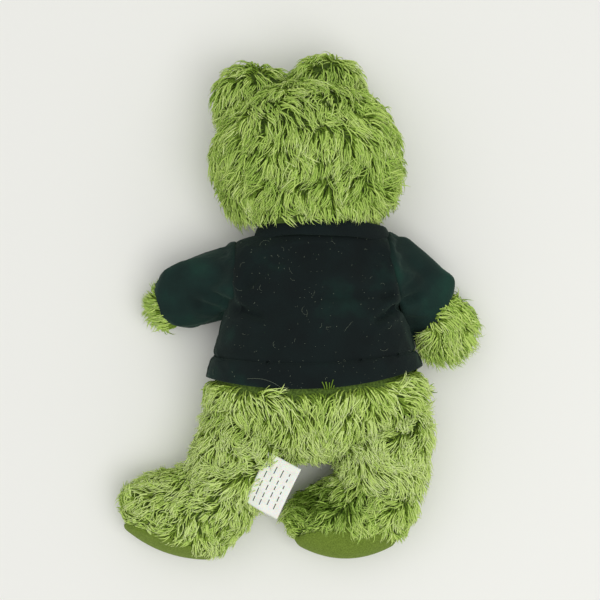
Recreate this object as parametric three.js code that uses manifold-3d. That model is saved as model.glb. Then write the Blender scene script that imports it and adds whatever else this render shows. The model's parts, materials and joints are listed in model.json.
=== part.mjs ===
// A shaggy stuffed frog in a felt sweatshirt, lying on its belly with its back upward.
// Millimetres. +Z is up, away from the belly; +Y runs from the feet to the crown of the head.
// The origin is the middle of the flat belly, on the surface that the toy rests on.
// "left" is the toy's own left, which is -X while it lies face down.
import * as THREE from 'three';
import { mergeVertices } from 'three/addons/utils/BufferGeometryUtils.js';
import Module from 'manifold-3d';

// Driving dimensions
const GAP = 0.35;                  // clearance between separate pieces
const PLUSH = 3.6;                 // shaggy plush, backing and the pressed foot of its pile
const FELT = 1.5;                  // sweatshirt felt
const SIDES = 18;                  // facets round the trunk and the head
const LIMB_SIDES = 14;             // facets round an arm or a leg
const BALL_SIDES = 14;             // facets round a ball, a mound or a foot
const CAP_STEPS = 3;               // facets along each rounded limb end
const SEAM_Z = 31;                 // height of the side seams of trunk, head and shirt
const TRUNK_X = 8.5;               // the trunk lies a little to the right of the belly mount
const BELLY_Z = 2.2;               // trunk plush above the felt that it lies on

// Oval outlines from the head end down: place on the spine, half width, half depth, height of the middle
const TORSO = [
  [31, 27, 18, 31], [27, 33, 22, 31], [16, 36, 25, 31], [0, 37, 27, 31], [-16, 42, 30, 31],
  [-32, 48, 32, 31], [-45, 52, 32, 31], [-54, 45, 31, 31], [-66, 22, 24, 29], [-73, 9, 12, 28],
];
const SHIRT = [
  [33, 33, 22, 32], [29, 38, 26, 31.5], [16, 40, 30, 30.5], [0, 40.5, 33, 29.5],
  [-10, 42.5, 34, 29.5], [-28.3, 52, 35.5, 30],
];
const HEM = [[-28.7, 52.6, 36, 30], [-36, 54.4, 36.5, 30], [-44, 55.5, 36.5, 30]];
const NECKBAND = [[39, 31.5, 22, 33.5], [36.5, 32.6, 22.6, 33.5], [33.4, 33.6, 23, 33]];
const PELLETS = [[-18, 12, 8, 20], [-23, 24, 11, 20], [-33, 28, 13, 20], [-42, 21, 10, 20], [-46, 12, 7, 20]];
const HEAD = [
  [32, 11, 9, 37], [29, 24, 20, 36], [24, 32, 28, 35], [14, 39, 34, 34], [2, 44, 36, 34],
  [-10, 43.5, 34, 34], [-20, 41, 31, 34], [-26, 36.5, 25, 34], [-30, 28.5, 19, 34], [-33, 13, 9, 34],
];

const NECK = { x: 8, y: 44, z: 34, r: 21, turn: 9 };
const HEAD_CENTRE = [1, 32];       // from the neck pivot, along the tilted head
const MOUNDS = {
  left: { x: -19.4, y: 58.9, z: 33, r: 16.4, look: [-0.2, 0.6, -0.78] },
  right: { x: 18, y: 58.6, z: 34, r: 16.2, look: [0.2, 0.6, -0.78] },
};
const EYE = { dome: 7.2, rise: 4.2, stem: 1.8, depth: 7.4, washer: 5.6, plate: 1.3 };
const MOUTH = { half: 27, middle: -17, lift: 11, thread: 0.75 };
const NOSTRILS = { x: 6.5, y: -12, r: 1.6 };

// Limbs: joint, height there, heading in degrees, length to the far centre, the two radii
const ARMS = {
  left: { x: -29, y: 15, z: 31, turn: 206, length: 37, farZ: 15.6, r: 12.8, farR: 12.6, swing: [-35, 12] },
  right: { x: 50, y: 15, z: 31, turn: 313, length: 37.5, farZ: 15, r: 12.8, farR: 12.4, swing: [-4, 50] },
};
const SLEEVES = { left: { length: 38, slant: 15 }, right: { length: 32, slant: 8 } };
const SLEEVE_EASE = 2;
const SLEEVE_SPACE = SLEEVE_EASE + FELT + GAP;
const LEGS = {
  left: { x: -22, y: -66, z: 23.5, turn: 243.4, length: 35.8, farZ: 21, r: 22.5, farR: 18 },
  right: { x: 44, y: -64, z: 23.5, turn: 267.5, length: 34.1, farZ: 21, r: 21.8, farR: 17 },
};
const ANKLE_R = 16.8;
const ANKLE_LIP = 7;               // the leg stops this far short of the ankle's middle
const FEET = {
  left: { turn: 160, along: 18, down: 20, half: [27.5, 20.5, 18.5], sole: 29, tilt: 15 },
  right: { turn: 180, along: 17.5, down: 13.5, half: [29, 18, 18.5], sole: 20.5, tilt: 27 },
};
const SOLE = 1.6;                  // velour of the sole pad
const SOLE_RIM = 0.8;              // the pad's seam stands this far out round the foot
const BAG_MOUTH = 2;               // half of the filling channel that is left to the pellet bag
const OPEN_END = 0.62;             // where a limb is open at its joint, as a share of its radius
const LABEL = { x: -5, y: -76.8, z: 46.6, wide: 17.8, long: 27.5, thick: 0.9, turn: 242.5, roll: 14, drop: 8 };

const COLOURS = {
  fur: [0x96b04e, 0.95], stuffing: [0xf0eee6, 0.95], felt: [0x16262a, 0.9], velour: [0x7d9238, 0.9],
  ribbon: [0xebede1, 0.6], eye: [0x0b0b0c, 0.15], washer: [0xe6e6e0, 0.5], thread: [0x1c1f16, 0.7],
  pellets: [0xd9d9d2, 0.8],
};

const wasm = await Module();
wasm.setup();

const radians = THREE.MathUtils.degToRad;

// three.js geometry to a solid, and back
function solidOf(geometry) {
  const plain = geometry.index ? geometry.toNonIndexed() : geometry.clone();
  plain.deleteAttribute('normal');
  plain.deleteAttribute('uv');
  const merged = mergeVertices(plain, 1e-4);
  const corners = merged.index.array;
  const kept = [];
  for (let i = 0; i < corners.length; i += 3) {
    const [a, b, c] = corners.slice(i, i + 3);
    if (a !== b && b !== c && c !== a) kept.push(a, b, c);
  }
  const vertProperties = new Float32Array(merged.attributes.position.array);
  const triVerts = new Uint32Array(kept);
  return new wasm.Manifold(new wasm.Mesh({ numProp: 3, vertProperties, triVerts }));
}

function geometryOf(solid) {
  const mesh = solid.getMesh();
  const geometry = new THREE.BufferGeometry();
  geometry.setAttribute('position', new THREE.BufferAttribute(new Float32Array(mesh.vertProperties), 3));
  geometry.setIndex(Array.from(mesh.triVerts));
  geometry.computeVertexNormals();
  return geometry;
}

function piece(name, solid, colour) {
  const [color, roughness] = COLOURS[colour];
  const mesh = new THREE.Mesh(geometryOf(solid), new THREE.MeshStandardMaterial({ color, roughness }));
  mesh.name = name;
  return mesh;
}

// A closed form of oval rings set across the Y axis, grown outward and stretched at both ends
function ovalForm(rows, x = 0, grow = 0, stretch = 0) {
  const points = [];
  const faces = [];
  const first = rows[0];
  const last = rows[rows.length - 1];
  const middle = (first[0] + last[0]) / 2;
  const scale = 1 + (2 * stretch) / (first[0] - last[0]);
  const along = (y) => middle + (y - middle) * scale;
  points.push(x, along(first[0]), first[3]);
  rows.forEach(([y, wide, high, z]) => {
    for (let side = 0; side < SIDES; side += 1) {
      const angle = (side / SIDES) * 2 * Math.PI;
      points.push(x + (wide + grow) * Math.cos(angle), along(y), z + (high + grow) * Math.sin(angle));
    }
  });
  points.push(x, along(last[0]), last[3]);
  const tail = points.length / 3 - 1;
  for (let side = 0; side < SIDES; side += 1) {
    const next = (side + 1) % SIDES;
    faces.push(0, 1 + next, 1 + side);
    for (let row = 0; row < rows.length - 1; row += 1) {
      const near = 1 + row * SIDES;
      const far = near + SIDES;
      faces.push(near + side, far + next, far + side, near + side, near + next, far + next);
    }
    faces.push(tail, tail - SIDES + side, tail - SIDES + next);
  }
  const geometry = new THREE.BufferGeometry();
  geometry.setAttribute('position', new THREE.BufferAttribute(new Float32Array(points), 3));
  geometry.setIndex(faces);
  return solidOf(geometry);
}

function ball(r, [x, y, z]) {
  const sphere = new THREE.SphereGeometry(r, BALL_SIDES, BALL_SIDES / 2);
  return solidOf(sphere.rotateX(Math.PI / 2).translate(x, y, z));
}

function block([x0, x1], [y0, y1], [z0, z1]) {
  const box = new THREE.BoxGeometry(x1 - x0, y1 - y0, z1 - z0);
  return solidOf(box.translate((x0 + x1) / 2, (y0 + y1) / 2, (z0 + z1) / 2));
}

const FAR = 300;
const above = (z) => block([-FAR, FAR], [-FAR, FAR], [z, FAR]);
const below = (z) => block([-FAR, FAR], [-FAR, FAR], [-FAR, z]);

// A limb form: a round-ended taper from its joint at the origin, along +X, dropping to farZ
function limbForm({ z, farZ, length, r, farR }, grow = 0, reach = length) {
  const profile = [];
  for (let step = 0; step <= CAP_STEPS; step += 1) {
    const angle = (step / CAP_STEPS) * (Math.PI / 2);
    profile.push(new THREE.Vector2((r + grow) * Math.sin(angle), -(r + grow) * Math.cos(angle)));
  }
  for (let step = 0; step <= CAP_STEPS; step += 1) {
    const angle = (step / CAP_STEPS) * (Math.PI / 2);
    profile.push(new THREE.Vector2((farR + grow) * Math.cos(angle), reach + (farR + grow) * Math.sin(angle)));
  }
  const form = new THREE.LatheGeometry(profile, LIMB_SIDES).rotateZ(-Math.PI / 2);
  form.rotateY(Math.atan2(z - farZ, length)).translate(0, 0, z);
  return solidOf(form);
}

// The sole side of a foot: everything past a plane that leans upward from the ankle
function pastSole({ sole, tilt }, z, shift) {
  const slab = new THREE.BoxGeometry(FAR, FAR, FAR).translate(0, FAR / 2 + sole + shift, 0);
  const lean = Math.tan(radians(tilt));
  slab.applyMatrix4(new THREE.Matrix4().makeShear(0, 0, 0, 0, 0, -lean));
  return solidOf(slab.translate(0, 0, z));
}

function group(x, y, turn, meshes) {
  const body = new THREE.Group();
  body.position.set(x, y, 0);
  body.rotation.z = radians(turn);
  body.add(...meshes);
  return body;
}

// A ball grown until its flat facets clear a round of radius r
function room(r, centre) {
  return ball(r / Math.cos(Math.PI / BALL_SIDES) ** 2, centre);
}

// A room for a ball joint in the trunk, in the trunk's own frame
function socket({ x, y, z, r }, grow) {
  return room(r + grow, [x - TRUNK_X, y, z]);
}

// The room that an arm and its sleeve sweep beside the trunk, in the trunk's own frame
function armRoom(arm, grow) {
  const [first, last] = arm.swing;
  const form = limbForm(arm, grow);
  return [first, 0, last]
    .map((angle) => form.rotate([0, 0, arm.turn + angle]).translate([arm.x - TRUNK_X, arm.y, 0]))
    .reduce((whole, one) => whole.add(one), socket(arm, grow + GAP));
}

// Trunk: two plush panels, their stuffing and a bag of pellets in the seat
function trunkPieces() {
  const cut = (solid, extra) => {
    const joints = [NECK, ...Object.values(LEGS)].map((joint) => socket(joint, GAP + extra));
    const arms = Object.values(ARMS).map((arm) => armRoom(arm, SLEEVE_SPACE + GAP + extra));
    return [...joints, ...arms].reduce((rest, room) => rest.subtract(room), solid);
  };

  const outer = ovalForm(TORSO).intersect(above(BELLY_Z));
  const inner = ovalForm(TORSO, 0, -PLUSH, -PLUSH).intersect(above(BELLY_Z + PLUSH));
  const shell = cut(outer.subtract(inner), 0);
  const filled = ovalForm(TORSO, 0, -PLUSH - GAP, -PLUSH - GAP).intersect(above(BELLY_Z + PLUSH + GAP));
  const bag = ovalForm(PELLETS);
  const bagRoom = ovalForm(PELLETS, 0, GAP, GAP);
  const bagZ = PELLETS[0][3];
  const bagMouth = block([-BAG_MOUTH, BAG_MOUTH], [-FAR, PELLETS[3][0]], [bagZ - BAG_MOUTH, bagZ + BAG_MOUTH]);
  return [
    piece('torso_back_panel', shell.intersect(above(SEAM_Z + GAP / 2)), 'fur'),
    piece('torso_front_panel', shell.intersect(below(SEAM_Z - GAP / 2)), 'fur'),
    piece('torso_stuffing', cut(filled, GAP).subtract(bagRoom).subtract(bagMouth), 'stuffing'),
    piece('pellet_bag', bag, 'pellets'),
  ];
}

// Sweatshirt body: back and front panels, the neckband and the hem band
function shirtPieces() {
  const tube = (rows, thick) => ovalForm(rows).intersect(above(0))
    .subtract(ovalForm(rows, 0, -thick, FELT * 2).intersect(above(thick)));
  const sleeved = (solid) => Object.values(ARMS)
    .reduce((rest, arm) => rest.subtract(armRoom(arm, SLEEVE_SPACE)), solid);
  const body = sleeved(tube(SHIRT, FELT));
  const band = tube(NECKBAND, FELT * 1.4).subtract(socket(NECK, GAP * 2));
  return [
    piece('shirt_back_panel', body.intersect(above(SEAM_Z + GAP / 2)), 'felt'),
    piece('shirt_front_panel', body.intersect(below(SEAM_Z - GAP / 2)), 'felt'),
    piece('shirt_neckband', band, 'felt'),
    piece('shirt_hem_band', tube(HEM, FELT), 'felt'),
  ];
}

// An oval outline's half width and half depth, part way between its rows
function ovalAt(rows, y) {
  const row = rows.findIndex((r, i) => i > 0 && (r[0] - y) * (rows[i - 1][0] - y) <= 0);
  const [from, to] = [rows[row - 1], rows[row]];
  const share = (y - from[0]) / (to[0] - from[0]);
  return from.map((value, i) => value + share * (to[i] - value));
}

function facePoint(x, y, off) {
  const [, wide, high, z] = ovalAt(HEAD, y);
  const depth = z - high * Math.sqrt(1 - (x / wide) ** 2) - off;
  return new THREE.Vector3(x + HEAD_CENTRE[0], y + HEAD_CENTRE[1], Math.max(depth, off));
}

// Turns a form that points along +Y so that it looks along a mound's gaze, from its centre
function aimed(geometry, { x, y, z, look }) {
  const turn = new THREE.Quaternion().setFromUnitVectors(
    new THREE.Vector3(0, 1, 0), new THREE.Vector3(...look).normalize());
  return geometry.applyQuaternion(turn).translate(x, y, z);
}

function round(r, y0, y1, sides = 12) {
  return new THREE.CylinderGeometry(r, r, y1 - y0, sides).translate(0, (y0 + y1) / 2, 0);
}

// One eye: the plush mound, its stuffing, the plastic eye with its stem, and the washer behind
function eyePieces(side) {
  const mound = MOUNDS[side];
  const centre = [mound.x, mound.y, mound.z];
  const base = mound.r + GAP;
  const washerBack = EYE.depth + EYE.plate;
  const headRoom = headForm(-PLUSH - GAP);
  const stemRoom = solidOf(aimed(round(EYE.stem + GAP, 0, base + 2), mound));
  const washerRoom = solidOf(aimed(round(EYE.washer + GAP, 0, washerBack + GAP, 14), mound));
  const profile = [[0, EYE.depth - 2], [EYE.stem, EYE.depth - 2], [EYE.stem, base], [EYE.dome, base]];
  for (let step = 1; step <= CAP_STEPS; step += 1) {
    const angle = (step / CAP_STEPS) * (Math.PI / 2);
    profile.push([EYE.dome * Math.cos(angle), base + 0.4 + EYE.rise * Math.sin(angle)]);
  }
  profile[profile.length - 1][0] = 0;
  const eye = new THREE.LatheGeometry(profile.map(([r, y]) => new THREE.Vector2(r, y)), 16);
  const washer = solidOf(aimed(round(EYE.washer, EYE.depth, washerBack, 14), mound)).subtract(stemRoom);
  const shell = ball(mound.r, centre).subtract(ball(mound.r - PLUSH, centre))
    .subtract(headRoom).subtract(stemRoom);
  const filled = ball(mound.r - PLUSH - GAP, centre).subtract(washerRoom).subtract(stemRoom);
  return [
    piece(`eye_mound_${side}`, shell, 'fur'),
    piece(`mound_stuffing_${side}`, filled, 'stuffing'),
    piece(`eye_${side}`, solidOf(aimed(eye, mound)), 'eye'),
    piece(`eye_washer_${side}`, washer, 'washer'),
  ];
}

function headForm(grow) {
  const rows = HEAD.map(([y, wide, high, z]) => [y + HEAD_CENTRE[1], wide, high, z]);
  return ovalForm(rows, HEAD_CENTRE[0], grow, grow);
}

// The embroidered mouth: one raised line of thread across the muzzle
function mouthPiece() {
  const line = [];
  for (let step = -4; step <= 4; step += 1) {
    const share = step / 4;
    const y = MOUTH.middle + MOUTH.lift * share * share;
    line.push(facePoint(MOUTH.half * share, y, MOUTH.thread + GAP * 2));
  }
  const section = new THREE.Shape().absarc(0, 0, MOUTH.thread, 0, 2 * Math.PI);
  const path = new THREE.CatmullRomCurve3(line);
  const tube = new THREE.ExtrudeGeometry(section, { steps: 10, curveSegments: 2, extrudePath: path });
  return piece('mouth_stitch', solidOf(tube), 'thread');
}

// A flat knot of thread on the snout; grown a little, it is the dimple that the knot sits in
function nostrilKnot(x, grow = 0) {
  const at = facePoint(x, NOSTRILS.y, NOSTRILS.r / 2);
  const knot = new THREE.SphereGeometry(NOSTRILS.r + grow, 10, 6).scale(1, 1, 0.6);
  return solidOf(knot.translate(at.x, at.y, at.z));
}

// Head: two plush panels with a neck that sits in the trunk, stuffing, eyes and mouth
function headPieces() {
  const rooms = Object.values(MOUNDS).map(({ x, y, z, r }) => ball(r + GAP, [x, y, z]));
  const cores = Object.values(MOUNDS).map(({ x, y, z, r }) => ball(r - PLUSH, [x, y, z]));
  const cut = (solid, tools) => tools.reduce((rest, tool) => rest.subtract(tool), solid);
  const neck = [0, 0, NECK.z];
  const neckHole = ball(NECK.r * 0.6, [0, -NECK.r, NECK.z]);
  const outer = headForm(0).add(ball(NECK.r, neck)).intersect(above(0));
  const inner = headForm(-PLUSH).add(ball(NECK.r - PLUSH, neck)).intersect(above(PLUSH));
  const dimples = [-NOSTRILS.x, NOSTRILS.x].map((x) => nostrilKnot(x, GAP));
  const shell = cut(outer.subtract(inner), [neckHole, ...rooms, ...dimples]);
  const core = headForm(-PLUSH - GAP).add(ball(NECK.r - PLUSH - GAP, neck)).intersect(above(PLUSH + GAP));
  return [
    piece('head_back_panel', shell.intersect(above(SEAM_Z + GAP / 2)), 'fur'),
    piece('head_face_panel', shell.intersect(below(SEAM_Z - GAP / 2)), 'fur'),
    piece('head_stuffing', cut(core, [neckHole, ...cores]), 'stuffing'),
    ...eyePieces('left'),
    ...eyePieces('right'),
    mouthPiece(),
    piece('nostril_left', nostrilKnot(-NOSTRILS.x), 'thread'),
    piece('nostril_right', nostrilKnot(NOSTRILS.x), 'thread'),
  ];
}

// A plush limb, open at the joint where it is sewn on, with its stuffing
function limbPieces(name, side, limb, farCut) {
  const openFrom = block([-limb.r * OPEN_END, FAR], [-FAR, FAR], [-FAR, FAR]);
  const trim = (solid) => farCut(solid.intersect(openFrom).intersect(above(0)));
  const shell = limbForm(limb).subtract(limbForm(limb, -PLUSH).intersect(above(PLUSH)));
  const core = limbForm(limb, -PLUSH - GAP).intersect(above(PLUSH + GAP));
  return [
    piece(`${name}_casing_${side}`, trim(shell), 'fur'),
    piece(`${name}_stuffing_${side}`, trim(core), 'stuffing'),
  ];
}

// A set-in felt sleeve round the arm, its mouth cut on the slant
function sleevePiece(side) {
  const arm = ARMS[side];
  const { length, slant } = SLEEVES[side];
  const outer = limbForm(arm, SLEEVE_EASE + FELT, length + arm.r);
  const inner = limbForm(arm, SLEEVE_EASE, length + arm.r);
  const mouth = new THREE.BoxGeometry(FAR, FAR, FAR).translate(FAR / 2 + length, 0, 0);
  const slanted = solidOf(mouth.rotateZ(radians(slant)));
  const lying = outer.intersect(above(0)).subtract(inner.intersect(above(FELT)));
  const open = block([0, FAR], [-FAR, FAR], [-FAR, FAR]);
  return piece(`sleeve_${side}`, lying.intersect(open).subtract(slanted), 'felt');
}

// A foot in the ankle's frame: +X to the toe, +Y towards the sole
function footPieces(side) {
  const foot = FEET[side];
  const z = LEGS[side].farZ;
  const [halfLong, halfDeep, halfWide] = foot.half;
  const form = (grow) => {
    const oval = new THREE.SphereGeometry(1, BALL_SIDES + 2, BALL_SIDES / 2 + 1)
      .scale(halfLong + grow, halfDeep + grow, halfWide + grow)
      .translate(foot.along, foot.down, z - 4);
    return solidOf(oval).add(ball(ANKLE_R + grow, [0, 0, z]));
  };
  const sole = (shift) => pastSole(foot, z, shift);
  const shell = form(0).subtract(form(-PLUSH).intersect(above(PLUSH)));
  const core = form(-PLUSH - GAP).intersect(above(PLUSH + GAP));
  const pad = form(SOLE_RIM).intersect(sole(0)).subtract(sole(SOLE));
  return [
    piece(`foot_casing_${side}`, shell.intersect(above(0)).subtract(sole(-GAP)), 'fur'),
    piece(`foot_stuffing_${side}`, core.intersect(above(0)).subtract(sole(-GAP)), 'stuffing'),
    piece(`sole_pad_${side}`, pad.intersect(above(0)), 'velour'),
  ];
}

// The sewn-in ribbon label, hanging from the crotch seam over the left leg
function labelPiece() {
  const { wide, long, thick, roll, drop } = LABEL;
  const ribbon = new THREE.BoxGeometry(long, wide, thick, 4, 1, 1).translate(long / 2 + 1, 0, 0);
  ribbon.rotateX(radians(roll)).rotateY(radians(drop)).translate(0, 0, LABEL.z);
  return piece('label', solidOf(ribbon), 'ribbon');
}

const frog = new THREE.Group();
frog.add(group(TRUNK_X, 0, 0, [...trunkPieces(), ...shirtPieces()]));
frog.add(group(NECK.x, NECK.y, NECK.turn, headPieces()));
for (const side of ['left', 'right']) {
  const arm = ARMS[side];
  frog.add(group(arm.x, arm.y, arm.turn, [...limbPieces('arm', side, arm, (solid) => solid), sleevePiece(side)]));
  const leg = LEGS[side];
  const ankle = room(ANKLE_R + GAP, [leg.length, 0, leg.farZ])
    .add(block([leg.length - ANKLE_LIP, FAR], [-FAR, FAR], [-FAR, FAR]));
  frog.add(group(leg.x, leg.y, leg.turn, limbPieces('leg', side, leg, (solid) => solid.subtract(ankle))));
  const heel = new THREE.Vector2(leg.length, 0).rotateAround(new THREE.Vector2(), radians(leg.turn));
  frog.add(group(leg.x + heel.x, leg.y + heel.y, FEET[side].turn, footPieces(side)));
}
frog.add(group(LABEL.x, LABEL.y, LABEL.turn, [labelPiece()]));

export default frog;
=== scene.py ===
"""Looks of a shaggy plush frog in a felt sweatshirt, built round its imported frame. Metres, +Z up."""
import json
import math

import bmesh
import bpy
import numpy as np
from mathutils import Matrix, Vector, noise
from mathutils.bvhtree import BVHTree
from mathutils.kdtree import KDTree


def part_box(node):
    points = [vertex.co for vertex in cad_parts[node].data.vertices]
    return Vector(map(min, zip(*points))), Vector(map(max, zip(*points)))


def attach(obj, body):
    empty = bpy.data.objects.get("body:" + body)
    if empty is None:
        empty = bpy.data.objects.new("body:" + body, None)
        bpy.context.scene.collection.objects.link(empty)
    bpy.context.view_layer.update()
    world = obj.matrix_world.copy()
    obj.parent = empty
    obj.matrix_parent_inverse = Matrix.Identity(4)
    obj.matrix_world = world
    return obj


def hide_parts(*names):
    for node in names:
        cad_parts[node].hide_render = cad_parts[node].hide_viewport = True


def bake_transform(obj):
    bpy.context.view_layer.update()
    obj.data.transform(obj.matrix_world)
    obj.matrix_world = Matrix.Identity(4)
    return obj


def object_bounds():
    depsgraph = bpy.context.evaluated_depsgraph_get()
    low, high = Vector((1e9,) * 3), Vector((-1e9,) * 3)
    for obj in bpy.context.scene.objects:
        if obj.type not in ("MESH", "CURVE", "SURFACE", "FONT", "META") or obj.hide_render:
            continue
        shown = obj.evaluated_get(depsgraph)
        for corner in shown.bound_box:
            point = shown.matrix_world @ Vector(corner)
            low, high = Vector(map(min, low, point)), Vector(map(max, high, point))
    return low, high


MM = 0.001
SEED = 11
FLOOR_GAP = 0.3 * MM               # skins, felt and the middle of every yarn stay above this
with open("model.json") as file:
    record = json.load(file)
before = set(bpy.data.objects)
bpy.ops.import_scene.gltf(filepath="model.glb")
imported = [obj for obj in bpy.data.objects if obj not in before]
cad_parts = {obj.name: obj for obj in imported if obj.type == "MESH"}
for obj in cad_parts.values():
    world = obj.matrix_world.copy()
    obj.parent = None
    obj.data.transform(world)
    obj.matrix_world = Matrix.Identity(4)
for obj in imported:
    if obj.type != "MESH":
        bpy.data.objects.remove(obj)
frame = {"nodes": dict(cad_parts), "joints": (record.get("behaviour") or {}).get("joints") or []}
cad_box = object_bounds()
JOINTS = {joint["name"]: Vector(joint["pos_m"]) for joint in frame["joints"]}
SIDES = ("left", "right")


def mm(x, y, z=0):
    return Vector((x, y, z)) * MM


def ramp(values, start, width):
    """0 up to start, then rising evenly to 1 over the width."""
    return np.clip((values - start) / width, 0, 1)


# ---------------- materials
def tone(red, green, blue):
    """A colour in 0-255 display values as linear light."""
    def linear(value):
        share = value / 255
        return share / 12.92 if share <= 0.04045 else ((share + 0.055) / 1.055) ** 2.4
    return (linear(red), linear(green), linear(blue), 1.0)


def new_material(name, colour, roughness, sheen=0.0, subsurface=0.0, coat=0.0):
    made = bpy.data.materials.new(name)
    made.use_nodes = True
    shader = made.node_tree.nodes["Principled BSDF"]
    sockets = {
        "Base Color": colour, "Roughness": roughness, "Specular IOR Level": 0.25,
        "Sheen Weight": sheen, "Sheen Roughness": 0.5, "Coat Weight": coat,
        "Subsurface Weight": subsurface, "Subsurface Scale": 0.5 * MM,
    }
    for socket, value in sockets.items():
        shader.inputs[socket].default_value = value
    return made


def noise_layer(made, scale, detail=3.0, stretch=(1, 1, 1)):
    """A noise texture in the object's own coordinates, with scale in features per metre."""
    nodes, links = made.node_tree.nodes, made.node_tree.links
    place = nodes.new("ShaderNodeTexCoord")
    mapping = nodes.new("ShaderNodeMapping")
    mapping.inputs["Scale"].default_value = stretch
    grain = nodes.new("ShaderNodeTexNoise")
    grain.inputs["Scale"].default_value = scale
    grain.inputs["Detail"].default_value = detail
    links.new(place.outputs["Object"], mapping.inputs["Vector"])
    links.new(mapping.outputs["Vector"], grain.inputs["Vector"])
    return grain


def colour_by(made, grain, stops):
    """Colours the surface by a grain, with stops of (place, colour)."""
    nodes, links = made.node_tree.nodes, made.node_tree.links
    blend = nodes.new("ShaderNodeValToRGB")
    while len(blend.color_ramp.elements) < len(stops):
        blend.color_ramp.elements.new(0.5)
    for element, (place, colour) in zip(blend.color_ramp.elements, stops):
        element.position = place
        element.color = colour
    links.new(grain.outputs["Fac"], blend.inputs["Fac"])
    links.new(blend.outputs["Color"], nodes["Principled BSDF"].inputs["Base Color"])


def bump_by(made, grains, distance):
    """Bumps the surface by one grain after another."""
    nodes, links = made.node_tree.nodes, made.node_tree.links
    before = None
    for grain, strength in grains:
        bump = nodes.new("ShaderNodeBump")
        bump.inputs["Strength"].default_value = strength
        bump.inputs["Distance"].default_value = distance
        links.new(grain.outputs["Fac"], bump.inputs["Height"])
        if before:
            links.new(before.outputs["Normal"], bump.inputs["Normal"])
        before = bump
    links.new(before.outputs["Normal"], nodes["Principled BSDF"].inputs["Normal"])


def backing_material():
    """The knitted backing that shows between the yarns: its own green, darkened as painted shade in the gaps
    between yarns and where the pile stops by the hem and collar.
    """
    made = new_material("plush_backing_and_shade", tone(78, 100, 38), 0.95)
    grain = noise_layer(made, 900)
    colour_by(made, grain, [(0.35, tone(58, 78, 26)), (0.65, tone(92, 116, 46))])
    bump_by(made, [(grain, 0.6)], 0.4 * MM)
    return made


# Each row holds a root, a middle and a tip colour: the darker root is painted shade deep in the pile, the
# lighter tip a painted highlight. The darkest row mostly serves the painted shade on the right foot and the
# inner right leg.
YARN_HUES = (                      # from the darkest yarn to the palest
    ((74, 100, 34), (106, 134, 50), (132, 160, 66)),
    ((112, 142, 52), (166, 198, 92), (190, 220, 116)),
    ((130, 160, 62), (186, 214, 108), (208, 232, 136)),
    ((142, 170, 68), (202, 226, 124), (222, 240, 152)),
    ((158, 182, 84), (216, 236, 148), (232, 246, 178)),
)


def yarn_materials():
    """Yarn in a few hues, each with a darker root, a middle and a lighter tip; the darker root is painted
    shade and the lighter tip a painted highlight.
    """
    made = []
    for hue, parts in enumerate(YARN_HUES):
        for part, colour in enumerate(parts):
            yarn = new_material(f"yarn_{hue}_{part}", tone(*colour), 0.9)
            shader = yarn.node_tree.nodes["Principled BSDF"]
            shader.inputs["Specular IOR Level"].default_value = 0.0
            made.append(yarn)
    return made


def felt_material(name, stops):
    """Brushed felt, dark bottle green that turns near black, with a soft nap."""
    made = new_material(name, tone(16, 26, 26), 0.95, sheen=0.15)
    made.node_tree.nodes["Principled BSDF"].inputs["Sheen Tint"].default_value = tone(120, 160, 140)
    patches = noise_layer(made, 45, 4)
    nap = noise_layer(made, 1500, 4)
    fuzz = noise_layer(made, 420, 6, (1, 2.2, 1))
    colour_by(made, patches, stops)
    bump_by(made, [(fuzz, 0.5), (nap, 0.6)], 0.35 * MM)
    return made


def velour_material():
    """Short smooth pile of the soles, rubbed lighter in patches."""
    made = new_material("velour", tone(104, 124, 46), 0.95, sheen=0.15)
    made.node_tree.nodes["Principled BSDF"].inputs["Sheen Tint"].default_value = tone(190, 210, 110)
    pile = noise_layer(made, 1500, 8)
    colour_by(made, pile, [(0.3, tone(84, 104, 30)), (0.5, tone(106, 128, 44)), (0.72, tone(126, 148, 58))])
    bump_by(made, [(pile, 0.8)], 0.4 * MM)
    return made


def ribbon_material():
    """White satin ribbon with its fine cross weave."""
    made = new_material("ribbon", tone(246, 247, 238), 0.55, sheen=0.1, subsurface=0.2)
    nodes, links = made.node_tree.nodes, made.node_tree.links
    weave = nodes.new("ShaderNodeTexWave")
    weave.inputs["Scale"].default_value = 900
    weave.inputs["Distortion"].default_value = 1.5
    place = nodes.new("ShaderNodeTexCoord")
    links.new(place.outputs["Object"], weave.inputs["Vector"])
    grain = noise_layer(made, 260, 5)
    colour_by(made, grain, [(0.3, tone(238, 239, 228)), (0.7, tone(250, 251, 244))])
    bump_by(made, [(weave, 0.25), (grain, 0.3)], 0.15 * MM)
    return made


# ---------------- meshes
def add_object(name, data, materials=()):
    made = bpy.data.objects.new(name, data)
    bpy.context.scene.collection.objects.link(made)
    for material in materials:
        data.materials.append(material)
    return made


def mesh_from(name, points, faces):
    mesh = bpy.data.meshes.new(name)
    mesh.from_pydata(points, [], faces)
    mesh.update()
    return mesh


def shade_smooth(mesh):
    mesh.polygons.foreach_set("use_smooth", [True] * len(mesh.polygons))


def mesh_of(bm, name):
    """A mesh from bm, which is used up."""
    mesh = bpy.data.meshes.new(name)
    bm.to_mesh(mesh)
    bm.free()
    return mesh


def joined(name, meshes):
    """One object from several meshes."""
    bm = bmesh.new()
    for mesh in meshes:
        bm.from_mesh(mesh)
    return add_object(name, mesh_of(bm, name))


SUBDIVIDE = ("SUBSURF", {"levels": 1, "render_levels": 1})


def settled(piece, *modifiers):
    """The piece's mesh with those modifiers applied: (type, {setting: value})."""
    for kind, settings in modifiers:
        modifier = piece.modifiers.new(kind.lower(), kind)
        for setting, value in settings.items():
            setattr(modifier, setting, value)
    graph = bpy.context.evaluated_depsgraph_get()
    mesh = bpy.data.meshes.new_from_object(piece.evaluated_get(graph))
    mesh.name = piece.name
    bpy.data.objects.remove(piece)
    return mesh


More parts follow.
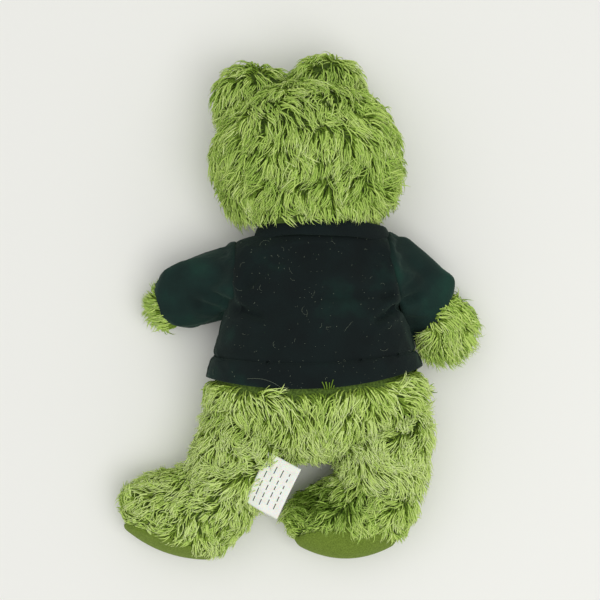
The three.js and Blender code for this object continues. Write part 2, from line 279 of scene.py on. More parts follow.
def remeshed(name, meshes, voxel, rounds):
    """One smooth skin over several closed forms."""
    return settled(
        joined(name, meshes),
        ("REMESH", {"mode": "VOXEL", "voxel_size": voxel, "use_smooth_shade": True}),
        ("SMOOTH", {"factor": 0.5, "iterations": rounds}),
    )


def node_points(*nodes):
    return [v.co.copy() for node in nodes for v in frame["nodes"][node].data.vertices]


def hull_of(points):
    """The convex form round some points."""
    bm = bmesh.new()
    for point in points:
        bm.verts.new(point)
    made = bmesh.ops.convex_hull(bm, input=bm.verts)
    spare = [g for g in made["geom_interior"] + made["geom_unused"] if isinstance(g, bmesh.types.BMVert)]
    bmesh.ops.delete(bm, geom=list(set(spare)), context="VERTS")
    return mesh_of(bm, "hull")


def hull(*nodes):
    """The convex form round the named CAD nodes."""
    return hull_of(node_points(*nodes))


def vertex_values(mesh, kind):
    values = np.empty(len(mesh.vertices) * 3)
    mesh.vertices.foreach_get(kind, values)
    return values.reshape(-1, 3)


def points_of(mesh):
    return vertex_values(mesh, "co")


def normals_of(mesh):
    return vertex_values(mesh, "normal")


def moved(mesh, move):
    """The mesh with its points passed through move(points)."""
    mesh.vertices.foreach_set("co", move(points_of(mesh)).ravel())
    mesh.update()
    return mesh


def above_floor(points):
    points[:, 2] = np.maximum(points[:, 2], FLOOR_GAP)
    return points


def tree_of(mesh):
    return BVHTree.FromPolygons([v.co for v in mesh.vertices], [tuple(p.vertices) for p in mesh.polygons])


def inside(tree, point, depth):
    """True where the point is more than depth below the tree's surface."""
    near, normal, _, distance = tree.find_nearest(point)
    return (point - near).dot(normal) < 0 and distance > depth


# ---------------- yarn
def unit(vectors):
    return vectors / np.maximum(np.linalg.norm(vectors, axis=1, keepdims=True), 1e-9)


def smooth_noise(points, size, shift):
    """A smooth random vector at each point, whose features are about size wide and the same on every run."""
    apart = [Vector((shift, 31.4 * axis, 17.2 * axis)) for axis in range(3)]
    return np.array([[noise.noise(Vector(p) / size + offset) for offset in apart] for p in points])


def scatter(mesh, count, rng):
    """Points spread evenly over a mesh, with the normals there."""
    mesh.calc_loop_triangles()
    corners = np.empty(len(mesh.loop_triangles) * 3, int)
    mesh.loop_triangles.foreach_get("vertices", corners)
    corners = corners.reshape(-1, 3)
    points, normals = points_of(mesh), normals_of(mesh)
    a, b, c = (points[corners[:, i]] for i in range(3))
    size = np.linalg.norm(np.cross(b - a, c - a), axis=1)
    pick = rng.choice(len(size), count, p=size / size.sum())
    u, v = rng.random((2, count, 1))
    u, v = np.where(u + v > 1, 1 - u, u), np.where(u + v > 1, 1 - v, v)
    weights = (1 - u - v, u, v)
    place = sum(w * points[corners[pick, i]] for i, w in enumerate(weights))
    facing = sum(w * normals[corners[pick, i]] for i, w in enumerate(weights))
    return place, unit(facing)


STEPS = 5                          # bends along one yarn
RING = 3                           # sides of one yarn
THICKNESS = (0.75, 1.0, 0.95, 0.75, 0.45)


def yarn_paths(roots, normals, flow, lengths, rng, hang=(0, 0, 0)):
    """Each yarn rises from its root, lies over along the flow and hangs, wavy, and its tuft draws it in."""
    count = len(roots)
    across = unit(np.cross(normals, flow))
    curl = rng.normal(0, 0.28, (count, 1)) * across + rng.normal(0, 0.15, (count, 1)) * normals
    wave = rng.uniform(0, 2 * math.pi, (count, 1))
    height = rng.uniform(0.1, 0.42, (count, 1))
    rise = rng.uniform(0.4, 1.1, (count, 1))
    hang = np.array(hang)
    path = [roots - normals * 0.4 * MM]
    for step in range(STEPS):
        share = (step + 0.5) / STEPS
        sway = height * (across * np.sin(wave + 5.5 * share) + normals * 0.6 * np.cos(wave + 5.5 * share))
        lean = normals * rise * (1.1 - 1.2 * share) + flow * (0.4 + 0.75 * share)
        lean = unit(lean + curl * 2 * (share - 0.3) + sway + hang * share)
        path.append(path[-1] + lean * lengths[:, None] / STEPS)
    path = np.stack(path, axis=1)
    centres = rng.choice(count, max(1, count // 14), replace=False)
    tufts = KDTree(len(centres))
    for index, centre in enumerate(centres):
        tufts.insert(path[centre, 2], index)
    tufts.balance()
    leader = centres[[tufts.find(p)[1] for p in path[:, 2]]]
    draw = rng.uniform(0.1, 0.8, (count, 1, 1)) * (np.linspace(0, 1, STEPS + 1) ** 1.6)[None, :, None]
    path += (path[leader] - path) * draw
    path[:, :, 2] = np.maximum(path[:, :, 2], FLOOR_GAP + 0.5 * MM)
    return path


def yarn_mesh(name, paths, radii, hues):
    """Tapered three-sided tubes along the paths, one material for each third of a yarn."""
    count = len(paths)
    along = unit(np.diff(paths, axis=1).reshape(-1, 3)).reshape(count, STEPS, 3)
    side = unit(np.cross(along[:, 0], np.tile([0.37, 0.21, 0.9], (count, 1))))
    per = RING * STEPS + 1
    points = np.empty((count, per, 3))
    for ring in range(STEPS):
        tangent = along[:, ring]
        first = unit(side - tangent * np.sum(side * tangent, axis=1, keepdims=True))
        second = np.cross(tangent, first)
        for corner in range(RING):
            angle = 2 * math.pi * corner / RING
            spoke = first * math.cos(angle) + second * math.sin(angle)
            points[:, ring * RING + corner] = paths[:, ring] + spoke * radii[:, None] * THICKNESS[ring]
    points[:, -1] = paths[:, -1]
    quads = [
        (r * RING + c, r * RING + (c + 1) % RING, (r + 1) * RING + (c + 1) % RING, (r + 1) * RING + c)
        for r in range(STEPS - 1) for c in range(RING)
    ]
    tips = [((STEPS - 1) * RING + c, (STEPS - 1) * RING + (c + 1) % RING, per - 1) for c in range(RING)]
    parts = [min(2, face // (RING * 2)) for face in range(len(quads))] + [2] * RING
    starts = np.arange(count)[:, None, None] * per
    quads = (np.array(quads)[None] + starts).reshape(-1, 4)
    tips = (np.array(tips)[None] + starts).reshape(-1, 3)
    quad_parts = np.tile(parts[:-RING], count) + np.repeat(hues * 3, len(parts) - RING)
    tip_parts = np.repeat(hues * 3 + 2, RING)
    mesh = bpy.data.meshes.new(name)
    mesh.vertices.add(count * per)
    mesh.vertices.foreach_set("co", points.ravel())
    mesh.loops.add(quads.size + tips.size)
    mesh.loops.foreach_set("vertex_index", np.concatenate([quads.ravel(), tips.ravel()]))
    mesh.polygons.add(len(quads) + len(tips))
    sizes = np.concatenate([np.full(len(quads), 4), np.full(len(tips), 3)])
    mesh.polygons.foreach_set("loop_start", np.concatenate([[0], np.cumsum(sizes)[:-1]]))
    mesh.polygons.foreach_set("material_index", np.concatenate([quad_parts, tip_parts]))
    mesh.update(calc_edges=True)
    mesh.validate()
    return mesh


def combed(points, normals, towards, rng, swirl=0.7):
    """The lie of the pile: along towards, turned by broad swirls, by tufts and by each yarn."""
    flow = unit(towards - normals * np.sum(towards * normals, axis=1, keepdims=True))
    broad = smooth_noise(points, 17 * MM, 3)[:, 0]
    tuft = smooth_noise(points, 4.5 * MM, 9)[:, 1]
    angle = (broad * 3.4 + tuft * 2.4) * swirl + rng.normal(0, 0.22, len(points))
    return flow * np.cos(angle)[:, None] + np.cross(normals, flow) * np.sin(angle)[:, None]


def grow_yarn(name, body, mesh, count, towards, keep, rng, length=12.5 * MM, swirl=0.7, hang=(0, 0, 0),
              trim=None, paler=None):
    """Shaggy pile on a skin. towards(points, normals) combs it, keep(point, normal) says where it grows,
    trim(points) gives the share of its length that is left at each root, and paler(points) shifts its hue."""
    points, normals = scatter(mesh, count, rng)
    grows = np.array([keep(Vector(p), n) for p, n in zip(points, normals)])
    grows &= ~((normals[:, 2] < -0.75) & (points[:, 2] < 2.5 * MM))
    points, normals = points[grows], normals[grows]
    flow = combed(points, normals, towards(points, normals), rng, swirl)
    lengths = length * rng.uniform(0.7, 1.2, len(points))
    if trim:
        lengths *= trim(points)
    radii = rng.uniform(0.3, 0.58, len(points)) * MM
    shade = smooth_noise(points, 9 * MM, 20)[:, 2] * 1.6 + rng.normal(2.3, 0.75, len(points))
    if paler:
        shade += paler(points)
    hues = np.clip(np.round(shade), 0 if paler else 1, len(YARN_HUES) - 1).astype(int)
    mesh = yarn_mesh(name, yarn_paths(points, normals, flow, lengths, rng, hang), radii, hues)
    piece = add_object(name, mesh, YARN)
    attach(piece, body)
    return piece


# ---------------- plush skins
def skin(name, body, forms, nodes, voxel=2.2 * MM, rounds=6, material=None):
    """The plush backing over some forms, standing for the CAD nodes that it covers."""
    mesh = moved(remeshed(name, forms, voxel, rounds), above_floor)
    piece = add_object(name, mesh, [material or BACKING_AND_SHADE])
    shade_smooth(mesh)
    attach(piece, body)
    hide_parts(*nodes)
    return piece


def turned(vector, degrees):
    return Matrix.Rotation(math.radians(degrees), 3, "Z") @ Vector(vector)


def centre_of(node):
    low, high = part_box(node)
    return (low + high) / 2


def build_head(rng):
    neck = JOINTS["neck_tilt"]
    mounds = {side: centre_of(f"eye_mound_{side}") for side in SIDES}
    panels = ["head_back_panel", "head_face_panel"]
    broad = np.array(mounds["left"] + mm(0.2, 1.6))
    jowl = np.array(neck + mm(40, 7))

    def broaden(points):
        rays = (points - np.array(mounds["left"])) * np.array([1.08, 1.0, 1])
        corner = unit(rays) @ np.array([-0.707, 0.707, 0])
        return broad + rays + np.array([-1.6, 1.0, 0]) * MM * np.clip(corner, 0, 1)[:, None] ** 4

    def fill_jowl(points):
        near = np.exp(-((points[:, 1] - jowl[1]) / (13 * MM)) ** 2)
        points[:, 0] += 3.0 * MM * near * ramp(points[:, 0], 22 * MM, 22 * MM)
        points[:, 0] += 1.8 * MM * near * ramp(-points[:, 0], 8 * MM, 22 * MM)
        return points

    def lift(points):
        return points + np.array([-1.8, 1.4, 0]) * MM

    forms = [moved(hull(*panels), fill_jowl), moved(hull("eye_mound_left"), broaden),
             moved(hull("eye_mound_right"), lift)]
    inner = ["head_stuffing", "mound_stuffing_left", "mound_stuffing_right",
             "eye_washer_left", "eye_washer_right"]
    head = skin("head_plush", "head", forms, panels + ["eye_mound_left", "eye_mound_right"] + inner)
    middle = centre_of("head_back_panel")
    down = np.array(turned((0, -1, 0), 9))

    def towards(points, normals):
        comb = np.tile(down, (len(points), 1))
        offset = (points - np.array(middle)) / (45 * MM)
        comb = comb + offset * np.array([0.55, 0.1, 0]) + np.array([0, 0, -0.15])
        for mound in mounds.values():
            ray = points - np.array(mound)
            near = np.clip(1.5 - np.linalg.norm(ray, axis=1) / (15 * MM), 0, 1)[:, None]
            up = ramp(ray[:, 1:2], -6 * MM, 12 * MM)
            comb = comb * (1 - near * up) + unit(ray + np.array([0, 5 * MM, 0])) * near * up * 1.6
        return comb

    # Two small bare spots near the eye mounds, where the darker backing shows through the pile.
    bare_spots = [mounds["left"] + mm(9, 11, 9), mounds["right"] + mm(1, 14, 9)]

    def keep(point, normal):
        bare = any((point - spot).length < 3.2 * MM for spot in bare_spots)
        return point.y > neck.y + 1 * MM and not bare

    def trim(points):
        behind = ramp(points[:, 2], 30 * MM, 8 * MM)
        middle_x = np.clip(1.6 - np.abs(points[:, 0] - 12 * MM) / (22 * MM), 0, 1)
        room = np.clip((points[:, 1] - neck.y + 7.5 * MM) / (13 * MM), 0.68, 1)
        return 1 - (1 - room) * behind * middle_x

    grow_yarn("head_yarn", "head", head.data, 13000, towards, keep, rng, hang=(0.05, -0.55, 0), trim=trim)


def hem_rise(x):
    """How far the hem rides up at a distance x from the middle."""
    return 2.6 * x ** 2


def drawn_in(mesh, share, depth):
    """Presses a skin in where clothing squeezes it, by share(points) of the depth."""
    normals = normals_of(mesh)
    moved(mesh, lambda points: points - normals * (share(points) * depth)[:, None])


def build_trunk(rng):
    nodes = ["torso_back_panel", "torso_front_panel"]
    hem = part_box("shirt_hem_band")[0].y

    def fill_hip(points):
        near = np.exp(-((points[:, 1] - hem + 2 * MM) / (11 * MM)) ** 2)
        points[:, 0] += 3.2 * MM * near * ramp(points[:, 0], 25 * MM, 25 * MM)
        return points

    form = moved(hull(*nodes), fill_hip)
    trunk = skin("trunk_plush", "trunk", [form], nodes + ["torso_stuffing", "pellet_bag"])
    drawn_in(trunk.data, lambda p: ramp(p[:, 1] - hem, 6 * MM, 8 * MM), 2.6 * MM)

    def towards(points, normals):
        comb = np.tile([0.0, -1.0, -0.15], (len(points), 1))
        comb[:, 0] = 1.2 * ramp(points[:, 0], 38 * MM, 18 * MM)
        return comb

    def keep(point, normal):
        return point.y < hem + 0.8 * MM + hem_rise(point.x)

    def by_hem(point, normal):
        return -5 * MM < point.y - hem - hem_rise(point.x) < 1.5 * MM

    def paler(points):
        return np.full(len(points), 0.9)

    grow_yarn("trunk_yarn", "trunk", trunk.data, 11000, towards, keep, rng, swirl=0.6, hang=(0, -0.3, -0.1),
              paler=paler)
    grow_yarn("hem_yarn", "trunk", trunk.data, 9000, towards, by_hem, rng, swirl=0.5, length=11 * MM,
              hang=(0, -0.9, 0), paler=paler)
    return trunk


def build_leg(side, trunk_tree, rng):
    hip, ankle = JOINTS[f"hip_{side}"], JOINTS[f"ankle_{side}"]
    along = np.array((ankle - hip).normalized())
    leg = skin(f"leg_plush_{side}", f"leg_{side}", [hull(f"leg_casing_{side}")],
               [f"leg_casing_{side}", f"leg_stuffing_{side}"])

    def towards(points, normals):
        return np.tile(along + np.array([0, 0, -0.1]), (len(points), 1))

    def keep(point, normal):
        return not inside(trunk_tree, point, 1 * MM) and (point - ankle).dot(hip - ankle) > 0

    # The legs' yarn is set paler overall. On the right leg the inner side below the crotch is set darker:
    # painted shade between the legs.
    def paler(points):
        inner = ramp(-points[:, 0], -34 * MM, 12 * MM) * ramp(-points[:, 1], 80 * MM, 8 * MM)
        return 1.7 - 2.5 * inner * (side == "right")

    grow_yarn(f"leg_yarn_{side}", f"leg_{side}", leg.data, 5200, towards, keep, rng, paler=paler)
    return leg


def build_foot(side, leg_tree, rng):
    ankle = JOINTS[f"ankle_{side}"]
    nodes = [f"foot_casing_{side}", f"foot_stuffing_{side}"]
    foot = skin(f"foot_plush_{side}", f"foot_{side}", [hull(f"foot_casing_{side}")], nodes)
    sole = skin(f"sole_velour_{side}", f"foot_{side}", [hull(f"sole_pad_{side}")], [f"sole_pad_{side}"],
                voxel=0.7 * MM, rounds=3, material=VELOUR)
    middle = centre_of(f"sole_pad_{side}")
    toe = np.array([-0.9, 0.34, 0.0]) if side == "left" else np.array([-1.0, 0.0, 0.0])
    spread = points_of(sole.data) - np.array(middle)
    flat = np.linalg.svd(spread - spread.mean(0), full_matrices=False)[2]
    outward = flat[2] * np.sign(flat[2] @ np.array(middle - ankle))
    reach = np.abs(spread @ flat[:2].T).max(0)

    def dome(points):
        away = np.sum(((points - np.array(middle)) @ flat[:2].T / reach) ** 2, axis=1)
        swell = np.clip(1 - away, 0, 1) * (4.6 if side == "left" else 8.0) * MM
        return points + outward * (swell + 0.8 * MM)[:, None]

    moved(sole.data, dome)
    sole_tree = tree_of(sole.data)

    def overhang(points):
        """How far the pile hangs over the edge of the sole: on the upper side, and most at the heel."""
        rel = points - np.array(middle)
        heel = np.clip(rel @ -toe / (20 * MM) + (1.1 if side == "left" else 1.0), 0, 1)
        return heel * np.clip(rel[:, 2] / (8 * MM) + 0.1, 0, 1)

    def towards(points, normals):
        near = np.array([sole_tree.find_nearest(Vector(p))[3] for p in points])[:, None]
        over = overhang(points)[:, None]
        back = np.clip(1.6 - near / (9 * MM), 0, 1.3)
        return toe * (1 - 0.7 * over) + outward * (1.8 * over - back * (1 - over))

    def keep(point, normal):
        clear = sole_tree.find_nearest(point)[3] > 1.6 * MM
        return clear and not inside(leg_tree, point, 1 * MM)

    def trim(points):
        near = np.array([sole_tree.find_nearest(Vector(p))[3] for p in points])
        over = overhang(points)
        return np.clip(0.2 + near / (13 * MM), 0, 1) * (1 - over) + (0.85 if side == "left" else 1.05) * over

    def paler(points):
        if side == "left":
            return np.full(len(points), 1.0)
        # On the right foot the yarn turns darker in a patch toward the toe from the ankle: painted shade in
        # the hollow under the leg and body.
        rel = (points - np.array(ankle))[:, :2] / MM
        painted_shade = np.exp(-((rel[:, 0] + 26) / 17) ** 2 - ((rel[:, 1] + 3) / 9) ** 2)
        return 0.6 - 3.2 * painted_shade

    grow_yarn(f"foot_yarn_{side}", f"foot_{side}", foot.data, 5600, towards, keep, rng, length=10.5 * MM,
              trim=trim, paler=paler)


SLEEVES = {                        # places from the shoulder joint, in millimetres
    "left": {
        "mouth": ((-45.4, -2.8), (-37.0, -28.4)),
        "upper": ((-16, 12.4), (-32, 7.2), (-39.5, 3)),
        "cuff": ((-43, -10.5), (-41, -18.6), (-32.5, -26.2)),
    },
    "right": {
        "mouth": ((33.6, -7.3), (15.6, -34.0)),
        "upper": ((8, 20.6), (17, 12.2), (32, -2.4)),
        "cuff": ((31, -7.4), (27.5, -18.8), (19.7, -29.6)),
    },
}


def sleeve_mouth(side):
    """The slanted plane of a sleeve's mouth, as a point and its outward normal."""
    first, last = (mm(*place) for place in SLEEVES[side]["mouth"])
    chord = (last - first).normalized()
    across = Vector((-chord.y, chord.x, 0))
    if across.dot(first + last) < 0:
        across.negate()
    return JOINTS[f"shoulder_{side}"] + (first + last) / 2, across


def build_arm(side, rng):
    shoulder = JOINTS[f"shoulder_{side}"]
    arm = skin(f"arm_plush_{side}", f"arm_{side}", [hull(f"arm_casing_{side}")],
               [f"arm_casing_{side}", f"arm_stuffing_{side}"])
    points = points_of(arm.data)
    hand = Vector(points[np.argmax(np.linalg.norm(points - np.array(shoulder), axis=1))])
    along = (hand - shoulder).normalized()

    hang = (0.1, -0.8, 0) if side == "right" else (-0.7, 0.15, 0)

    def towards(points, normals):
        return np.tile(np.array(along) + np.array(hang), (len(points), 1))

    mouth, outward = sleeve_mouth(side)
    facing = np.array(outward)
    drawn_in(arm.data, lambda p: np.clip(-((p - np.array(mouth)) @ facing) / (6 * MM), 0, 1), 1.6 * MM)

    def keep(point, normal):
        return (point - mouth).dot(outward) > -6 * MM

    def trim(points):
        """Shorter by the mouth of the sleeve, where the cuff holds the pile down."""
        return np.clip(0.9 + ((points - np.array(mouth)) @ facing) / (20 * MM), 0.6, 1)

    length = (15 if side == "right" else 12) * MM
    grow_yarn(f"hand_yarn_{side}", f"arm_{side}", arm.data, 4600, towards, keep, rng, length=length,
              swirl=0.9, hang=hang, trim=trim)
    return arm


# ---------------- sweatshirt
FELT_THICK = 1.3 * MM
SEAM_Z = 31 * MM                   # the side seams lie at this height
NECK_HOLE = (12.6 * MM, 33 * MM, 31 * MM, 21 * MM)    # middle x and z, half width, half depth
ARMHOLES = {                       # middle from the shoulder joint, half height, half depth, lean
    "left": (mm(-1.8, -0.6), 17.6 * MM, 19 * MM, 0.0),
    "right": (mm(-1.8, 2), 19.8 * MM, 19 * MM, 0.17),
}


RING_POINTS = 28                   # round one armhole


def armhole_ring(side, inward=0.0):
    """Points of the oval where a sleeve is set in."""
    middle, half_y, half_z, lean = ARMHOLES[side]
    centre = JOINTS[f"shoulder_{side}"] + middle
    made = []
    for index in range(RING_POINTS):
        turn = 2 * math.pi * index / RING_POINTS
        y = half_y * math.sin(turn)
        made.append(centre + Vector((-y * lean - inward, y, half_z * math.cos(turn))))
    return made


def trimmed(mesh, planes=(), holes=()):
    """Cuts away all that lies outside each plane (point, normal), and the faces whose middle is in a hole."""
    bm = bmesh.new()
    bm.from_mesh(mesh)
    for point, normal in planes:
        geometry = bm.verts[:] + bm.edges[:] + bm.faces[:]
        bmesh.ops.bisect_plane(
            bm, geom=geometry, dist=1e-6, plane_co=point, plane_no=normal, clear_outer=True)
    gone = [face for face in bm.faces if any(hole(face.calc_center_median()) for hole in holes)]
    bmesh.ops.delete(bm, geom=gone, context="FACES")
    bmesh.ops.delete(bm, geom=[v for v in bm.verts if not v.link_faces], context="VERTS")
    return mesh_of(bm, mesh.name)


BIG = 10                           # cloth is simulated at ten times its size, where the solver is steadier
CLOTH_FRAMES = 22                  # long enough for the felt to settle
CLOTH_GAP = 0.008                  # between felt and body, at that larger size


def draped(mesh, hold, body, slack, cap):
    """The mesh after it settles as felt over a body, with slack to spare and no point moved more than cap.
    hold(point) is how firmly a point stays where it was sewn."""
    before = points_of(mesh)
    cloth = add_object("cloth_work", mesh.copy())
    cloth.data.vertices.foreach_set("co", (before * BIG).ravel())
    grip = cloth.vertex_groups.new(name="grip")
    for index, point in enumerate(before):
        grip.add([index], min(1.0, hold(Vector(point))), "REPLACE")
    form = add_object("cloth_body", body.data.copy())
    form.data.vertices.foreach_set("co", (points_of(body.data) * BIG).ravel())
    form.modifiers.new("collision", "COLLISION")
    form.collision.thickness_outer = CLOTH_GAP
    form.collision.cloth_friction = 8
    modifier = cloth.modifiers.new("cloth", "CLOTH")
    settings = modifier.settings
    settings.quality = 6
    settings.mass = 0.4
    settings.tension_stiffness = settings.compression_stiffness = 18
    settings.shear_stiffness = 8
    settings.bending_stiffness = 1.2
    settings.tension_damping = settings.compression_damping = 10
    settings.vertex_group_mass = "grip"
    settings.pin_stiffness = 0.6
    settings.shrink_min = -slack
    modifier.collision_settings.use_self_collision = False
    modifier.collision_settings.distance_min = CLOTH_GAP
    scene = bpy.context.scene
    scene.frame_end = max(scene.frame_end, CLOTH_FRAMES)
    modifier.point_cache.frame_end = CLOTH_FRAMES
    for moment in range(1, CLOTH_FRAMES + 1):
        scene.frame_set(moment)
    graph = bpy.context.evaluated_depsgraph_get()
    result = bpy.data.meshes.new_from_object(cloth.evaluated_get(graph))
    after = points_of(result) / BIG
    scene.frame_set(1)
    for spare in (cloth, form):
        bpy.data.objects.remove(spare)
    shift = after - before
    size = np.linalg.norm(shift, axis=1, keepdims=True)
    after = above_floor(before + shift * np.minimum(1, cap / np.maximum(size, 1e-9)))
    return moved(mesh, lambda _: after)


def puffed(mesh, shift):
    """The mesh with its points moved out along their normals."""
    normals = normals_of(mesh)
    return moved(mesh, lambda points: points + normals * shift)


def creased(mesh, creases):
    """Presses soft valleys into the upper side: (from, to, depth, width), the last two in
    millimetres. Each has a low ridge beside it."""
    points = points_of(mesh)
    shift = np.zeros(len(points))
    for start, end, depth, width in creases:
        depth, width = depth * MM, width * MM
        start, end = np.array(start[:2]), np.array(end[:2])
        line = end - start
        share = np.clip((points[:, :2] - start) @ line / (line @ line), -0.3, 1.3)
        foot = start + share[:, None] * line
        away = np.linalg.norm(points[:, :2] - foot, axis=1)
        fade = np.exp(-((share - 0.5) / 0.55) ** 4)
        upper = ramp(points[:, 2] - SEAM_Z, -6 * MM, 8 * MM)
        valley = np.exp(-((away / width) ** 2))
        ridge = np.exp(-(((away - 2.1 * width) / width) ** 2))
        shift += depth * fade * upper * (0.35 * ridge - valley)
    return puffed(mesh, shift[:, None])


def seamed(mesh, seams):
    """Draws the felt in along each seam plane (point, normal, depth)."""
    points, normals = points_of(mesh), normals_of(mesh)
    for point, normal, depth in seams:
        away = (points - np.array(point)) @ np.array(Vector(normal).normalized())
        points -= normals * (depth * np.exp(-((away / (1.1 * MM)) ** 2)))[:, None]
    return moved(mesh, lambda _: points)


def hem_warp(points):
    """The hem hangs lower in the middle of the back and rides up at both sides."""
    share = np.clip(-points[:, 1] / (42 * MM), 0, 1.1) ** 1.5
    points[:, 1] += hem_rise(points[:, 0]) * share
    return points


def felt_piece(name, mesh, thickness=FELT_THICK, felt=None):
    """A felt panel of its real thickness with softly rounded edges."""
    thicken = ("SOLIDIFY", {"thickness": thickness, "offset": -1.0})
    mesh = moved(settled(add_object(name, mesh), thicken, SUBDIVIDE), above_floor)
    shade_smooth(mesh)
    piece = add_object(name, mesh, [felt or FELT])
    return piece


def subdivided(mesh):
    return settled(add_object("work", mesh), SUBDIVIDE)


def build_shirt_body(trunk):
    panels = ["shirt_back_panel", "shirt_front_panel"]
    arms = [JOINTS[f"shoulder_{side}"] for side in SIDES]
    left, right = arms
    neck_x, neck_z, neck_wide, neck_deep = NECK_HOLE
    points = node_points(*panels, "shirt_hem_band")
    hem = min(p.y for p in points)
    points += [p + Vector((0, -4 * MM, 0)) for p in points if p.y < hem + 1 * MM]
    points += armhole_ring("left") + armhole_ring("right")
    points += [mm(x, y, z) for x, y in ((-40.5, -15), (58, -16)) for z in (34, 24)]
    for turn in range(32):
        angle = 2 * math.pi * turn / 32
        spoke = Vector((neck_wide * math.cos(angle), 0, neck_deep * math.sin(angle)))
        points.append(Vector((neck_x, 35 * MM, neck_z)) + spoke)
    for point in points:
        point.z = max(point.z, 0)

    def neck_hole(p):
        inner = ((p.x - neck_x) / (neck_wide - 2 * MM)) ** 2 + ((p.z - neck_z) / (neck_deep - 1 * MM)) ** 2
        return p.y > 30 * MM and inner < 1

    def arm_hole(p):
        for arm, outward in ((left, -1), (right, 1)):
            if (p.x - arm.x) * outward > -1.5 * MM and math.hypot(p.y - arm.y, p.z - arm.z) < 15.5 * MM:
                return True
        return False

    whole = remeshed("shirt_work", [hull_of(points)], 2.4 * MM, 4)
    whole = trimmed(whole, [((0, hem, 0), (0, -1, 0))], [neck_hole, arm_hole])

    def hold(p):
        if p.y > 29 * MM:
            return 1.0
        beside = min(abs(p.x - arm.x) + max(0, arm.y - 16 * MM - p.y) for arm in arms)
        near = max(0.0, 1 - beside / (9 * MM))
        low = 0.25 if p.z < 12 * MM else 0.0
        return max(0.02, near ** 2, low)

    whole = draped(whole, hold, trunk, 0.035, 3.2 * MM)
    whole = subdivided(whole)
    armpit = right + mm(0.5, -16.5)
    whole = creased(whole, [
        (armpit, armpit + mm(-12, -7.5), 3.6, 1.9),
        (armpit + mm(-2, 7), armpit + mm(-9, 4.5), 2.0, 1.7),
        ((8 * MM, 4 * MM), (38 * MM, 4.8 * MM), 2.3, 2.4),
        ((-30 * MM, -2 * MM), (46 * MM, 0 * MM), 1.4, 6),
        (left + mm(-0.5, -17), left + mm(12, -21), 3.0, 2.0),
        (left + mm(0, -9), left + mm(9, -3), 1.2, 2.2),
        ((-36 * MM, -24 * MM), (-6 * MM, -22.5 * MM), 0.9, 2.5),
        ((20 * MM, -12 * MM), (52 * MM, -19 * MM), 0.9, 3.2),
    ])
    seam_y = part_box("shirt_hem_band")[1].y
    across = (0, 1, 0)
    whole = seamed(whole, [((0, seam_y, 0), across, 1.3 * MM), ((0, 0, SEAM_Z), (0, 0, 1), 0.6 * MM)])
    above_hem = ((0, seam_y - 0.6 * MM, 0), (0, -1, 0))
    back = trimmed(whole, [above_hem, ((0, 0, SEAM_Z), (0, 0, -1))])
    front = trimmed(whole, [above_hem, ((0, 0, SEAM_Z), (0, 0, 1))])
    band = puffed(trimmed(whole, [((0, seam_y, 0), (0, 1, 0))]), 0.7 * MM)
    pieces = []
    for name, mesh, node, thick, flat in (
        ("shirt_back", back, panels[0], 1.0, (0.112, 0.070)),
        ("shirt_front", front, panels[1], 1.0, (0.112, 0.070)),
        ("shirt_hem", band, "shirt_hem_band", 1.6, (0.280, 0.0145)),
    ):
        piece = felt_piece(name, moved(mesh, hem_warp), FELT_THICK * thick)
        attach(piece, "trunk")
        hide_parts(node)
        pieces.append(piece)
    return pieces


def build_neckband():
    """A ring of doubled felt, rolled a little outward, that rises at the back of the neck."""
    neck_x, neck_z, neck_wide, neck_deep = NECK_HOLE
    around, over = 96, 10
    points, faces = [], []
    for i in range(around):
        angle = 2 * math.pi * i / around
        back = math.sin(angle)
        lift = 6.2 * max(0, back) ** 0.8 * (1 - 0.15 * math.cos(angle))
        wobble = 0.35 * math.sin(3 * angle + 1) + 0.25 * math.sin(7 * angle)
        for j in range(over):
            turn = 2 * math.pi * j / over
            height = 4.3 * math.cos(turn)
            thick = 1.25 * math.sin(turn)
            lean = -0.16 * height
            out = 1.8 + thick + lean + 0.3 * wobble
            points.append((
                neck_x + (neck_wide + out * MM) * math.cos(angle),
                (32.6 + lift * 0.85 + height + wobble * 0.5) * MM,
                neck_z + (neck_deep + out * MM) * back,
            ))
    for i in range(around):
        for j in range(over):
            k, m = (i + 1) % around, (j + 1) % over
            faces.append((i * over + j, i * over + m, k * over + m, k * over + j))
    mesh = mesh_from("shirt_collar", points, faces)
    mesh = subdivided(mesh)
    mesh.name = "shirt_collar"
    shade_smooth(mesh)
    piece = add_object("shirt_collar", mesh, [FELT])
    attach(piece, "trunk")
    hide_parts("shirt_neckband")
    return piece


